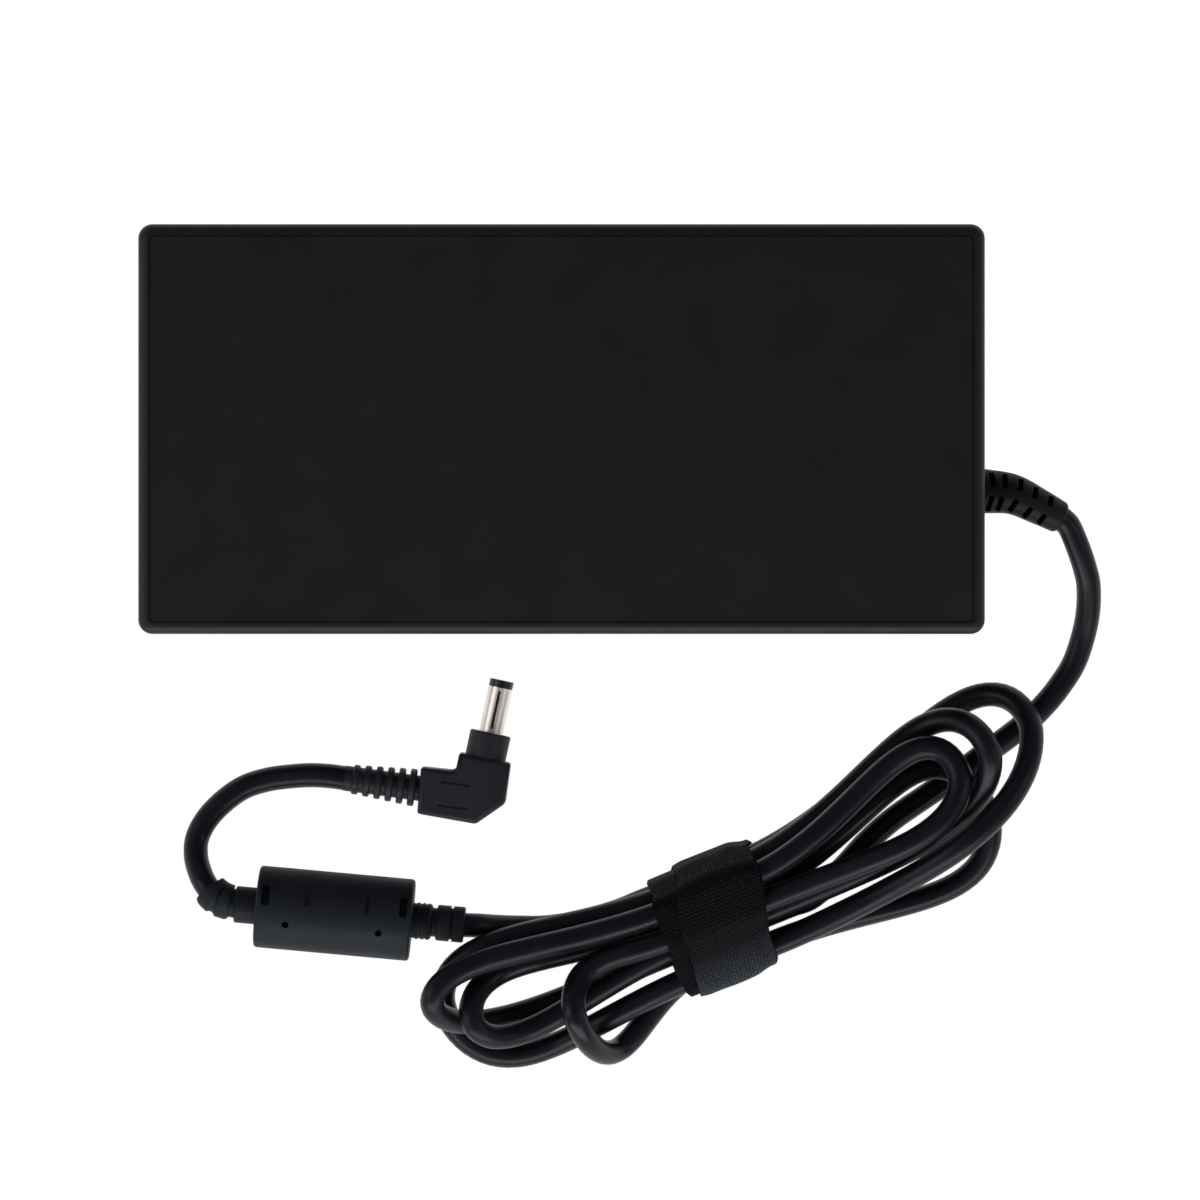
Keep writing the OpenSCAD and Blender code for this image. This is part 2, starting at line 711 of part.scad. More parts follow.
// A point of loop i, for t from 0 to 1
function loop_point(i, t) =
  let (l = loops[i], out = sin(180 * t), first = t < 0.5,
       u = l[0] * (waist_half + (l[1] - waist_half) * pow(out, tip_round)),
       v = pass_v(first ? i : i + 1) * (1 - out) + l[2] * out
           + (first ? l[3] : -l[4]) * sin(360 * t))
  hank_place([u, v, strand_z(pass_z(i), l[5], l[6], l[7], pass_z(i + 1), t)]);

function hank_path(rings) = [
  hank_place([hank_end, pass_v(0), pass_z(0)]),
  hank_place([hank_end - cord_d, pass_v(0), pass_z(0)]),
  for (i = [0 : len(loops) - 1], k = [0 : rings]) loop_point(i, ease(k / rings)),
  hank_place([cord_d - hank_end, pass_v(8), pass_z(8)]),
  hank_place([-hank_end, pass_v(8), pass_z(8)])
];

// Least gap between two stretches of the hank that aren't next to each other
fine_path = hank_path(2 * loop_rings);
skip = 14;
least_gap = min([
  for (i = [0 : len(fine_path) - 1 - skip])
    min([for (j = [i + skip : len(fine_path) - 1]) norm(fine_path[i] - fine_path[j])])
]) - cord_d;
echo(least_gap_of_hank_mm = least_gap);

module cord_hank() color("#17181a") tube(hank_path(loop_rings), cord_d, 6);

lead_start = relief_path[len(relief_path) - 1] + heading(relief_path, len(relief_path) - 1) * 1.2;
hank_in = hank_place([hank_end, pass_v(0), pass_z(0)]);
hank_in_straight = hank_place([hank_end + cord_d, pass_v(0), pass_z(0)]);
hank_out = hank_place([-hank_end, pass_v(8), pass_z(8)]);
hank_out_straight = hank_place([-hank_end - cord_d, pass_v(8), pass_z(8)]);

module cord_lead() {
  path = concat([lead_start], lead_at, [hank_in_straight, hank_in]);
  color("#17181a") tube(smooth(path, 2), cord_d, 10);
}

// Through the bead, on to the plug
module cord_tail() {
  plug_end = plug_place(on_branch(-relief_far));
  plug_straight = plug_place(on_branch(-relief_far - plug_run));
  path = concat([hank_out, hank_out_straight], tail_at,
                [for (x = [bead_far, bead_far - 4, bead_far / 3, -bead_far / 3,
                           4 - bead_l / 2 - bead_neck, -bead_l / 2 - bead_neck])
                  bead_place([x, 0, 0])],
                bead_bend_at, plug_lead_at, [plug_straight, plug_end]);
  color("#17181a") tube(smooth(path, 2), cord_d, 10);
}

// Hook-and-loop strap: an under layer all the way round, and an outer layer over the top
module strap_outline(grow) {
  hull() for (k = [0, 1, 2, 3, 6, 7, 8])
    translate([pass_v(k), pass_z(k)]) circle(cord_r + 0.3 + grow, $fn = 32);
}
module strap_layer(inner, outer, from, to) {
  translate([from, 0, 0]) rotate([90, 0, 90]) linear_extrude(to - from) difference() {
    strap_outline(outer);
    strap_outline(inner);
  }
}
module cable_strap() {
  color("#1d1d1f") translate([hank_x, hank_y, 0]) rotate([0, 0, hank_turn]) {
    strap_layer(0, strap_t, -strap_w / 2 - strap_shift, strap_w / 2 - strap_shift);
    difference() {
      strap_layer(strap_t, 2 * strap_t, -strap_w / 2, strap_w / 2);
      translate([-50, -50, -50]) cube([100, 100, 50 + pass_z(0) - cord_r]);
    }
  }
}

// ---------------------------------------------------------------- ferrite bead

function bead_place(p) = [
  bead_at[0] + p[0] * cos(bead_turn) - p[1] * sin(bead_turn),
  bead_at[1] + p[0] * sin(bead_turn) + p[1] * cos(bead_turn),
  bead_at[2] + p[2]
];
module at_bead() translate(bead_at) rotate([0, 0, bead_turn]) children();
module rod(from, to, r) translate([from, 0, 0]) rotate([0, 90, 0]) cylinder(h = to - from, r = r);

bead_far = bead_l / 2 + 12;
bead_neck = 5;
bend_path = smooth(concat([bead_place([1 - bead_l / 2 - bead_neck, 0, 0])], bead_bend_at), 3);
bend_ribs = [0.9, 0.9, 0.1, 0.1, 0.1, 0.7, 0.1, 0.1, 0.1, 0.7];  // how far each ring stays in
cord_bore = cord_r + fit;
bead_edge = 0.8;

module ferrite_core() {
  color("#33343a") at_bead() difference() {
    rod(-core_l / 2, core_l / 2, core_d / 2);
    rod(-core_l, core_l, cord_bore);
  }
}

// Moulding windows near both ends and small ones between them, and the locating holes
module bead_slots() {
  rotate([-22, 0, 0]) {
    for (x = [-15.6, 15.8]) translate([x, 0, bead_d / 2]) cube([1.6, 4.6, 1.6], center = true);
    for (x = [-6, 7.6]) translate([x, 0, bead_d / 2]) cube([1, 2.6, 0.8], center = true);
  }
  rotate([20, 0, 0]) for (x = [-10.6, 10.6]) translate([x, 0, bead_d / 2 - 0.8]) cylinder(h = 3, r = 0.8);
}

module ferrite_overmould() {
  right = bead_l / 2;
  color("#151517") at_bead() difference() {
    union() {
      rotate([0, 90, 0]) rotate_extrude() polygon([
        [0, -bead_l / 2], [bead_d / 2 - bead_edge, -bead_l / 2],
        [bead_d / 2 - 0.2, -bead_l / 2 + 0.2], [bead_d / 2, -bead_l / 2 + bead_edge],
        [bead_d / 2, bead_l / 2 - bead_edge], [bead_d / 2 - 0.2, bead_l / 2 - 0.2],
        [bead_d / 2 - bead_edge, bead_l / 2], [0, bead_l / 2]
      ]);
      rod(right - eps, right + 12, neck_d / 2 - 0.9);
      rod(right - eps, right + 4.5, neck_d / 2 - 0.2);
      for (x = [0.9, 2.2, 3.5]) rod(right + x, right + x + 0.7, neck_d / 2);
      for (x = [5.5, 9.3]) rod(right + x, right + x + 2.7 + (x < 6 ? 0.5 : 0), neck_d / 2 - 0.1);
      rod(-right - bead_neck, eps - right, neck_d / 2);
    }
    rod(-core_l / 2 - fit, core_l / 2 + fit, core_d / 2 + fit);
    rod(-right - bead_neck - 1, bead_l, cord_bore);
    bead_slots();
  }
  // the sleeve that bends with the lead, with its ribs
  color("#151517")
    sleeve(bend_path, [for (g = bend_ribs) neck_d / 2 - g], cord_bore + 0.3, 16);
}

// ---------------------------------------------------------------- plug

// The plug's own frame: x across it to the right, y along the barrel to its tip
function plug_place(p) = [
  plug_at[0] + p[0] * cos(plug_turn) - p[1] * sin(plug_turn),
  plug_at[1] + p[0] * sin(plug_turn) + p[1] * cos(plug_turn),
  plug_at[2] + p[2]
];
module at_plug() translate(plug_at) rotate([0, 0, plug_turn]) children();

plug_heel = 21;
plug_side = 6;
plug_shoulder = 13.4;
plug_axis = -16.5;
relief_far = plug_shoulder + plug_rings * ring_pitch + 1.6;
plug_round = 1.2;

// The branch of the plug that takes the lead leans a little, about a point on its axis
branch_turn = 4.4;
branch_pivot = -21.3;
function on_branch(x) = [
  branch_pivot + (x - branch_pivot) * cos(branch_turn),
  plug_axis + (x - branch_pivot) * sin(branch_turn),
  0
];

// A flat block with its edges rounded, from an outline
module cushion(points) {
  hull() for (s = [-1, 1], a = [0, 30, 60, 90])
    translate([0, 0, s * (plug_t / 2 - plug_round * (1 - sin(a))) - eps / 2])
      linear_extrude(eps) offset(delta = -plug_round * (1 - cos(a)) * 1) polygon(points);
}

module plug_overmould() {
  color("#151517") at_plug() difference() {
    union() {
      cushion([[0.9 - plug_shoulder, -plug_heel - 0.5], [1.1, -plug_heel], [plug_side + 0.7, -15],
               [plug_side + 0.3, -10.2], [-plug_side, -10.2], [-plug_shoulder - 0.5, -10.9]]);
      cushion([[-plug_side, -plug_heel], [1.1, -plug_heel], [plug_side + 0.7, -15],
               [plug_side, 0.4 - collar_l], [-plug_side, 0.4 - collar_l]]);
      rotate([90, 0, 0]) cylinder(h = collar_l + 1, d = collar_d);
      translate(on_branch(0)) rotate([0, 0, branch_turn]) {
        rod(-relief_far, -plug_shoulder + 3, cord_r + 0.2);
        for (k = [0 : plug_rings - 1])
          rod(-plug_shoulder - ring_pitch * (k + 0.9), 1.6 - plug_shoulder - ring_pitch * (k + 0.9),
              4.3 - 0.18 * k);
      }
    }
    // the barrel's seat and the two moulded lines
    rotate([90, 0, 0]) translate([0, 0, -1]) cylinder(h = seat_l + 1, r = tail_r + 0.02);
    for (y = [-13, -18.4]) translate([-5.1, y, plug_t / 2]) rotate([0, 0, branch_turn])
      cube([6.7, 0.5, 0.6], center = true);
  }
}

seat_l = 4;
neck_l = 0.2;      // the barrel steps down to its tail this far past the collar
slit_w = 0.6;
insulator_t = 0.55;
contact_r = barrel_d / 2 - sleeve_t - insulator_t;
tail_bore_r = contact_r + 0.15;
tail_r = tail_bore_r + 0.25;

module tube_y(from, to, r_out, r_in) {
  rotate([-90, 0, 0]) translate([0, 0, from]) difference() {
    cylinder(h = to - from, r = r_out);
    translate([0, 0, -1]) cylinder(h = to - from + 2, r = r_in);
  }
}

// Barrel: a rolled sleeve that steps down to a narrower tail inside the moulding
module plug_barrel() {
  r = barrel_d / 2;
  end = barrel_l - barrel_tip_l;
  color("#c8c4bc") at_plug() difference() {
    rotate([-90, 0, 0]) rotate_extrude() polygon([
      [tail_bore_r, -seat_l], [tail_r, -seat_l], [tail_r, neck_l], [r, neck_l], [r, end],
      [r - sleeve_t, end], [r - sleeve_t, neck_l + sleeve_t], [tail_bore_r, neck_l + sleeve_t]
    ]);
    translate([-slit_w / 2, 1, 0]) cube([slit_w, end - 1.8, barrel_d]);
  }
}

module plug_insulator() {
  r = barrel_d / 2;
  end = barrel_l - barrel_tip_l;
  color("#101010") at_plug() rotate([-90, 0, 0]) rotate_extrude() polygon([
    [contact_r, -seat_l], [tail_bore_r, -seat_l], [tail_bore_r, neck_l + sleeve_t],
    [r - sleeve_t, neck_l + sleeve_t], [r - sleeve_t, end], [r, end], [r, barrel_l], [contact_r, barrel_l]
  ]);
}

module plug_contact() {
  color("#caa64a") at_plug() tube_y(-seat_l, barrel_l - 0.5, contact_r, barrel_bore / 2);
}

// ---------------------------------------------------------------- nodes

top_cover();
bottom_cover();
rubber_feet();
ac_inlet_housing();
ac_inlet_pins();
inlet_wires();
main_board();
lower_heat_spreader();
lower_insulator();
upper_heat_spreader();
upper_insulator();
thermal_pads();
line_fuse();
inrush_thermistor();
x_capacitors();
y_capacitors();
filter_choke_cores();
filter_choke_windings();
bridge_rectifier();
primary_heatsink();
power_transistors();
inductor_core();
inductor_winding();
bulk_capacitors();
transformer_core();
transformer_winding();
control_board();
optocouplers();
secondary_heatsink();
output_rectifiers();
output_capacitors();
output_choke();
output_wires();
cord_strain_relief();
cord_lead();
cord_hank();
cord_tail();
cable_strap();
ferrite_core();
ferrite_overmould();
plug_overmould();
plug_barrel();
plug_insulator();
plug_contact();
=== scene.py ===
import bmesh
import bpy
from math import copysign, cos, pi, radians, sin, sqrt
from mathutils import Matrix, Vector, noise


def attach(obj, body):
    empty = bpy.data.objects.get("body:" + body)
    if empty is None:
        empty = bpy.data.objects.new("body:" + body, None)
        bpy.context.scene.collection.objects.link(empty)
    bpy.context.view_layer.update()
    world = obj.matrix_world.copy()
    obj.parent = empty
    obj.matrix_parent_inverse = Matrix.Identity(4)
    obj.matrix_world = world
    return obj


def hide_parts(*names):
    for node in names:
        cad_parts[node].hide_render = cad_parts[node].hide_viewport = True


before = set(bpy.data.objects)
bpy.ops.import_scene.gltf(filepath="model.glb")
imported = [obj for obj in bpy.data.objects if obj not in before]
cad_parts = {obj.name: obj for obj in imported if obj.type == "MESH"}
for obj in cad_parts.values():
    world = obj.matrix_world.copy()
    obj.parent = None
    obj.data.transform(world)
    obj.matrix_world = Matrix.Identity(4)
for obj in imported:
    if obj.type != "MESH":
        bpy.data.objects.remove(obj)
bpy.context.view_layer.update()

# Table and light: a white table top without edges, one wide soft box in front, weaker ones
# at the left and right, and a pale surround that is darker overhead than near the table.
scene = bpy.context.scene
scene.view_settings.view_transform = "Standard"
table_half, table_drop = 3, 0.0006

lens = bpy.data.cameras.new("lens")
lens.sensor_width = 36
lens.lens = 176.07
lens.clip_end = 20
camera = bpy.data.objects.new("camera", lens)
camera.location = (0.00863, -0.03836, 1.35)
scene.collection.objects.link(camera)
scene.camera = camera


def give(node, **values):
    """Set inputs of a shader node; a _ stands for a space in their names."""
    for name, value in values.items():
        node.inputs[name.replace("_", " ")].default_value = value
    return node


def shader(tree, kind, **values):
    """A new shader node, with the values of its inputs."""
    return give(tree.nodes.new("ShaderNode" + kind), **values)


def colour_ramp(tree, *stops):
    """A node that turns a value into a colour, from two or more places and their colours."""
    ramp = shader(tree, "ValToRGB")
    for k, (position, colour) in enumerate(stops):
        if k > 1:
            ramp.color_ramp.elements.new(position)
        ramp.color_ramp.elements[k].position = position
        ramp.color_ramp.elements[k].color = (*colour, 1)
    return ramp


def join(tree, *pairs):
    """Connect outputs to inputs."""
    for start, end in pairs:
        tree.links.new(start, end)


def new_material(name):
    """A new material, and its tree of nodes."""
    material = bpy.data.materials.new(name)
    material.use_nodes = True
    return material, material.node_tree


surround = bpy.data.worlds.new("surround")
scene.world = surround
surround.use_nodes = True
tree = surround.node_tree
tree.nodes.clear()
path = shader(tree, "LightPath")
way = shader(tree, "TexCoord")
parts = shader(tree, "SeparateXYZ")
height = colour_ramp(tree, (0.0, (0.36, 0.38, 0.44)), (0.9, (0.095, 0.1, 0.118)))
room = shader(tree, "Background")
white = shader(tree, "Background", Color=(1, 1, 1, 1))
pick = shader(tree, "MixShader")
out = shader(tree, "OutputWorld")
join(tree,
     (way.outputs["Generated"], parts.inputs[0]),
     (parts.outputs["Z"], height.inputs["Fac"]),
     (height.outputs["Color"], room.inputs["Color"]),
     (path.outputs["Is Camera Ray"], pick.inputs["Fac"]),
     (room.outputs[0], pick.inputs[1]),
     (white.outputs[0], pick.inputs[2]),
     (pick.outputs[0], out.inputs["Surface"]))

table_mesh = bpy.data.meshes.new("table_top")
bm = bmesh.new()
bmesh.ops.create_grid(bm, x_segments=1, y_segments=1, size=table_half,
                      matrix=Matrix.Translation((0, 0, -table_drop)))
bm.to_mesh(table_mesh)
bm.free()
table = bpy.data.objects.new("table_top", table_mesh)
scene.collection.objects.link(table)
paper, tree = new_material("white_paper")
tree.nodes.clear()
path = shader(tree, "LightPath")
matte = shader(tree, "BsdfDiffuse", Color=(0.86, 0.86, 0.86, 1))
plain = shader(tree, "Emission", Color=(1, 1, 1, 1))
pick = shader(tree, "MixShader")
seen = shader(tree, "Math")
seen.operation = "MAXIMUM"
mirrored = shader(tree, "Math")
mirrored.operation = "MAXIMUM"
out = shader(tree, "OutputMaterial")
join(tree,
     (path.outputs["Is Camera Ray"], seen.inputs[0]),
     (path.outputs["Is Transmission Ray"], seen.inputs[1]),
     (seen.outputs[0], mirrored.inputs[0]),
     (path.outputs["Is Glossy Ray"], mirrored.inputs[1]),
     (mirrored.outputs[0], pick.inputs["Fac"]),
     (matte.outputs[0], pick.inputs[1]),
     (plain.outputs[0], pick.inputs[2]),
     (pick.outputs[0], out.inputs["Surface"]))
table_mesh.materials.append(paper)


def soft_box(name, place, width, height, power):
    """A rectangular lamp that faces the adapter."""
    light = bpy.data.lights.new(name, "AREA")
    light.shape = "RECTANGLE"
    light.size = width
    light.size_y = height
    light.energy = power
    lamp = bpy.data.objects.new(name, light)
    lamp.location = place
    lamp.rotation_euler = (-Vector(place)).to_track_quat("-Z", "Y").to_euler()
    scene.collection.objects.link(lamp)


soft_box("front_soft_box", (0.0, -0.68, 0.34), 1.1, 0.26, 4.2)
soft_box("left_soft_box", (-1.1, -0.1, 0.8), 0.7, 0.9, 3.5)
soft_box("right_soft_box", (1.1, -0.1, 0.8), 0.3, 0.6, 0.9)

# DC lead: a round cord with a satin black jacket. It leaves the brick, makes eight loops
# that lie in three layers, runs through the ferrite bead and ends in the plug. Its routes
# past the relief and the sizes of the hank are in millimetres, all else is in metres.
cord_diameter = 0.0056
exit_place = Vector((0.095, -0.0136, 0.018))
relief_route = [(0, 0, 0), (0.007, -0.0007, 0), (0.013, -0.0034, -0.0009), (0.0174, -0.0056, -0.0022)]
relief_past = 0.0012
lead_route = [
    (115.2, -21.4, 14.8), (116.6, -24.2, 13.9), (118, -27.6, 12.7), (119.2, -31, 11.3), (120.2, -35, 9.5),
    (120.3, -41, 7), (119.3, -47, 4.6), (117.3, -53, 3.3), (114.2, -58, 2.9), (111, -62, 2.9),
    (107, -66, 2.9), (102, -70, 2.9), (96.5, -74, 2.9), (90.5, -78.5, 2.9), (83.5, -83.3, 2.9),
    (76, -88.5, 2.9), (70, -93.8, 2.9), (64.4, -99.9, 3),
]
tail_route = [(4, -112.3, 3.2), (-4, -113.5, 2.9), (-10, -113.5, 3.6), (-15, -113.2, 6), (-19, -112.8, 8.4)]
bead_route = (29.8, 25.8, 10, -10, -18.8, -22.8)
bead_bend_route = [(-77.4, -107, 9.3), (-79.8, -105.4, 9), (-81.6, -103.2, 8.3)]
plug_lead_route = [
    (-83, -100.5, 6.6), (-84, -97, 4.5), (-83.8, -93, 3.2), (-81.7, -88.8, 2.9), (-78, -84.8, 2.9),
    (-73.2, -81.4, 3), (-67.8, -79.6, 3.4), (-62.2, -78.8, 4.1), (-57.4, -78.5, 4.8),
]
plug_relief_end, plug_straight = -0.0306, 0.0032
passes = [
    (-3.6, 0), (6.6, 2), (0.2, 2), (-10, 0), (2.6, 0), (-2.6, 1), (9.4, 1), (-10, 1), (10, 0),
]
loops = [
    (-1, 68, 6, -5.5, 5.5, 4.5, 7, 19),
    (1, 62.5, 11.5, 9, -6.5, 16, 1, 20.5),
    (-1, 39, -9, 6.5, -10, 15, 11, 6),
    (1, 65.5, 0, -10, 13.5, 3, 1.5, 9.5),
    (-1, 61, -0.5, 7, -6, 9.5, 7.5, 10.5),
    (1, 70.5, 13.5, -7.5, 11, 11.5, 10.5, 10),
    (-1, 66.5, 3, 9, -11, 12, -3, 3),
    (1, 82, 16, -8.5, 10.5, 20, 0, 3),
]
waist_half, layer_low, layer_step, hank_end = 11, 4.3, 6.1, 16
settle, over_tip, tip_fullness = 0.18, 0.64, 0.6
approach, half_approach = 5.6, 2.8
relief_steps, route_steps, loop_steps = 8, 6, 64
hank_frame = Matrix.Translation((0.0362, -0.111, 0)) @ Matrix.Rotation(radians(22), 4, "Z")
bead_frame = Matrix.Translation((-0.052, -0.1099, 0.00935)) @ Matrix.Rotation(radians(-5.2), 4, "Z")
plug_frame = Matrix.Translation((-0.0164, -0.0688, 0.0052)) @ Matrix.Rotation(radians(-12.2), 4, "Z")
branch_frame = (plug_frame @ Matrix.Translation((-0.0213, -0.0165, 0)) @ Matrix.Rotation(radians(4.4), 4, "Z")
                @ Matrix.Translation((0.0213, 0, 0)))


def through(points, steps):
    """A smooth line through the points, with some steps between two of them."""
    line = []
    for i in range(len(points) - 1):
        b, c = points[i], points[i + 1]
        a = points[i - 1] if i else 2 * b - c
        d = points[i + 2] if i + 2 < len(points) else 2 * c - b
        for s in range(steps):
            t = s / steps
            line.append(0.5 * (2 * b + (c - a) * t + (2 * a - 5 * b + 4 * c - d) * t**2
                               + (3 * b - a - 3 * c + d) * t**3))
    return line + [points[-1]]


def ease(x):
    """From 0 to 1 with a soft start and end."""
    return (1 - cos(pi * x)) / 2


def in_hank(u, v, z):
    """A place given along and across the hank, and above the table."""
    return hank_frame @ (Vector((u, v, z)) * 0.001)


def layer_height(k):
    """The height of the cord's kth pass under the strap."""
    return layer_low + layer_step * passes[k][1]


def loop_place(i, t):
    """The place on the ith loop at a share t of its way.

    A loop is given by its side and reach along the hank, the place of its tip across it, how
    far it bulges on the way out and back, and its height at the start, as a lift over its
    tip, and at the end."""
    side, reach, tip, first, last, start, lift, end = loops[i]
    out = sin(pi * t)
    near = i if t < 0.5 else i + 1
    u = side * (waist_half + (reach - waist_half) * max(out, 0) ** tip_fullness)
    v = passes[near][0] * (1 - out) + tip * out + (first if t < 0.5 else -last) * sin(2 * pi * t)
    if t < settle:
        z = layer_height(i) + (start - layer_height(i)) * ease(t / settle)
    elif t > 1 - settle:
        z = layer_height(i + 1) + (end - layer_height(i + 1)) * ease((1 - t) / settle)
    else:
        m = (t - settle) / over_tip
        z = start + (end - start) * ease(m) + lift * ease(2 * m if m < 0.5 else 2 - 2 * m)
    return in_hank(u, v, z)


def millimetres(points):
    return [Vector(p) * 0.001 for p in points]


relief_line = through([exit_place + Vector(p) for p in relief_route], relief_steps)
relief_way = (relief_line[-1] - relief_line[-2]).normalized()
lead_start = relief_line[-1] + relief_way * relief_past
first_pass, last_pass = passes[0][0], passes[-1][0]
lead_line = through(
    [lead_start] + millimetres(lead_route)
    + [in_hank(u, first_pass, layer_low) for u in (hank_end + approach, hank_end)], route_steps)
hank_line = [in_hank(hank_end - half_approach, first_pass, layer_low)]
for i in range(len(loops)):
    hank_line += [loop_place(i, ease(k / loop_steps)) for k in range(loop_steps + 1)]
hank_line += [in_hank(half_approach - hank_end, last_pass, layer_low)]
tail_line = through(
    [in_hank(u, last_pass, layer_low) for u in (-hank_end, -hank_end - approach)]
    + millimetres(tail_route)
    + [bead_frame @ Vector((x * 0.001, 0, 0)) for x in bead_route]
    + millimetres(bead_bend_route + plug_lead_route)
    + [branch_frame @ Vector((x, 0, 0)) for x in (plug_relief_end - plug_straight, plug_relief_end)],
    route_steps)
cord_line = lead_line + hank_line + tail_line

jacket_curve = bpy.data.curves.new("dc_lead", "CURVE")
jacket_curve.dimensions = "3D"
jacket_curve.bevel_depth = cord_diameter / 2
jacket_curve.bevel_resolution = 6
jacket_curve.use_fill_caps = True
spline = jacket_curve.splines.new("POLY")
spline.points.add(len(cord_line) - 1)
for point, place in zip(spline.points, cord_line):
    point.co = (*place, 1)
spline.use_smooth = True
dc_lead = bpy.data.objects.new("dc_lead", jacket_curve)
scene.collection.objects.link(dc_lead)


def finish(name, dark, light, cloud, grain, sheen, depth, metal=0.0, shine=0.5, tint=(1, 1, 1),
           pattern="NOISE", stretch=(1, 1, 1)):
    """Colour and gloss that drift between two values in clouds, under a fine raised grain.

    cloud and grain are sizes in metres, sheen is a pair of roughnesses, depth is how high the
    grain stands, and the grain's pattern is NOISE or, for turns and weaves, WAVE."""
    cloud_low, cloud_high = 0.3, 0.7
    material, tree = new_material(name)
    skin = give(tree.nodes["Principled BSDF"], Metallic=metal, Specular_IOR_Level=shine,
                Specular_Tint=(*tint, 1))
    place = shader(tree, "TexCoord")
    turn = shader(tree, "Mapping", Scale=stretch)
    drift = shader(tree, "TexNoise", Scale=1 / cloud, Detail=4)
    if pattern == "NOISE":
        raised = shader(tree, "TexNoise", Scale=1 / grain, Detail=2)
    else:
        raised = shader(tree, "TexWave", Scale=1 / grain, Distortion=1.5)
    colour = colour_ramp(tree, (cloud_low, dark), (cloud_high, light))
    gloss = shader(tree, "MapRange", From_Min=cloud_low, From_Max=cloud_high,
                   To_Min=sheen[0], To_Max=sheen[1])
    bump = shader(tree, "Bump", Strength=0.6, Distance=depth)
    join(tree,
         (place.outputs["Object"], turn.inputs["Vector"]),
         (turn.outputs[0], drift.inputs["Vector"]),
         (turn.outputs[0], raised.inputs["Vector"]),
         (drift.outputs["Fac"], colour.inputs["Fac"]),
         (colour.outputs["Color"], skin.inputs["Base Color"]),
         (drift.outputs["Fac"], gloss.inputs["Value"]),
         (gloss.outputs["Result"], skin.inputs["Roughness"]),
         (raised.outputs["Fac"], bump.inputs["Height"]),
         (bump.outputs["Normal"], skin.inputs["Normal"]))
    return material


jacket_curve.materials.append(finish(
    "lead_jacket", (0.0058, 0.0061, 0.0076), (0.0082, 0.0086, 0.0106), 0.016, 0.0005, (0.3, 0.41), 0.00001,
    shine=0.23, tint=(0.86, 0.93, 1)))
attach(dc_lead, "root")
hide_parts("cord_lead", "cord_hank", "cord_tail")

# Strain relief of the lead: a tapering black elastomer sleeve moulded onto the cord. Rows of
# slots, on top and underneath, let it bend; a spine between the rows carries the pull.
# A slot is given by its distance along the sleeve and its lean in degrees.
relief_root, relief_tip, tip_round, relief_inside = 0.0051, 0.0037, 0.0008, 0.0010
sleeve_steps, tip_steps, sleeve_sides, sleeve_edge = 31, 4, 56, 0.00012
slot_width, slot_height, slot_floor, half_spine = 0.0012, 0.007, 0.0008, 0.0011
upper_wall, lower_wall = 0.0006, 0.0003
upper_slots = [(0.0028, 12), (0.0054, 11), (0.0086, 12), (0.0123, 16), (0.0162, 12)]
lower_slots = [(0.0026, -12), (0.0050, -12), (0.0088, -11), (0.0126, -10), (0.0162, -9)]
upright = Vector((0, 0, 1))


def facing(place, way):
    """The frame of a ring at a place, square to the way it faces."""
    side = way.cross(upright).normalized()
    return Matrix.Translation(place) @ Matrix((side, way.cross(side), way)).transposed().to_4x4()


def swept(bm, line, radii, segments=48):
    """A closed tube along a line, with a radius at each of its points."""
    rings = []
    last = len(line) - 1
    for i, (place, radius) in enumerate(zip(line, radii)):
        way = (line[min(i + 1, last)] - line[max(i - 1, 0)]).normalized()
        made = bmesh.ops.create_circle(bm, segments=segments, radius=radius, cap_ends=i in (0, last),
                                       matrix=facing(place, way))
        rings.append({edge for vert in made["verts"] for edge in vert.link_edges})
    for near, far in zip(rings, rings[1:]):
        bmesh.ops.bridge_loops(bm, edges=list(near | far))


def block(bm, size, frame_of_it):
    """A rectangular block round the middle of a frame."""
    bmesh.ops.create_cube(bm, size=1, matrix=frame_of_it @ Matrix.Diagonal((*size, 1)))


def carve(bm, tools):
    """Cut the closed shapes in tools out of the closed shape in bm."""
    bmesh.ops.recalc_face_normals(bm, faces=bm.faces)
    bmesh.ops.recalc_face_normals(tools, faces=tools.faces)
    blank, cutter = (bpy.data.objects.new(n, bpy.data.meshes.new(n)) for n in ("blank", "cutter"))
    for build, thing in ((bm, blank), (tools, cutter)):
        build.to_mesh(thing.data)
        scene.collection.objects.link(thing)
    cut = blank.modifiers.new("cut", "BOOLEAN")
    cut.object = cutter
    cut.solver = "EXACT"
    bm.clear()
    bm.from_mesh(blank.evaluated_get(bpy.context.evaluated_depsgraph_get()).data)
    tools.free()
    for thing in (blank, cutter):
        mesh = thing.data
        bpy.data.objects.remove(thing)
        bpy.data.meshes.remove(mesh)


def bevel(bm, edges, width, segments, **more):
    """Round the edges of a mould."""
    bmesh.ops.bevel(bm, geom=edges, affect="EDGES", offset=width, segments=segments, profile=0.5,
                    material=-1, **more)


def sharper(edges, angle):
    """The edges between two faces that meet at more than the angle."""
    return [edge for edge in edges if edge.is_manifold and edge.calc_face_angle(0) > radians(angle)]


def add_piece(name, bm, material, slot, *nodes):
    """The finished mesh as an object of the adapter, in place of CAD nodes."""
    mesh = bpy.data.meshes.new(name)
    bm.to_mesh(mesh)
    bm.free()
    mesh.materials.append(material)
    mesh.shade_smooth()
    mesh.set_sharp_from_angle(angle=radians(48))
    piece = bpy.data.objects.new(name, mesh)
    scene.collection.objects.link(piece)
    weights = piece.modifiers.new("flat_faces_stay_flat", "WEIGHTED_NORMAL")
    weights.keep_sharp = True
    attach(piece, "root")
    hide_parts(*nodes)
    return piece


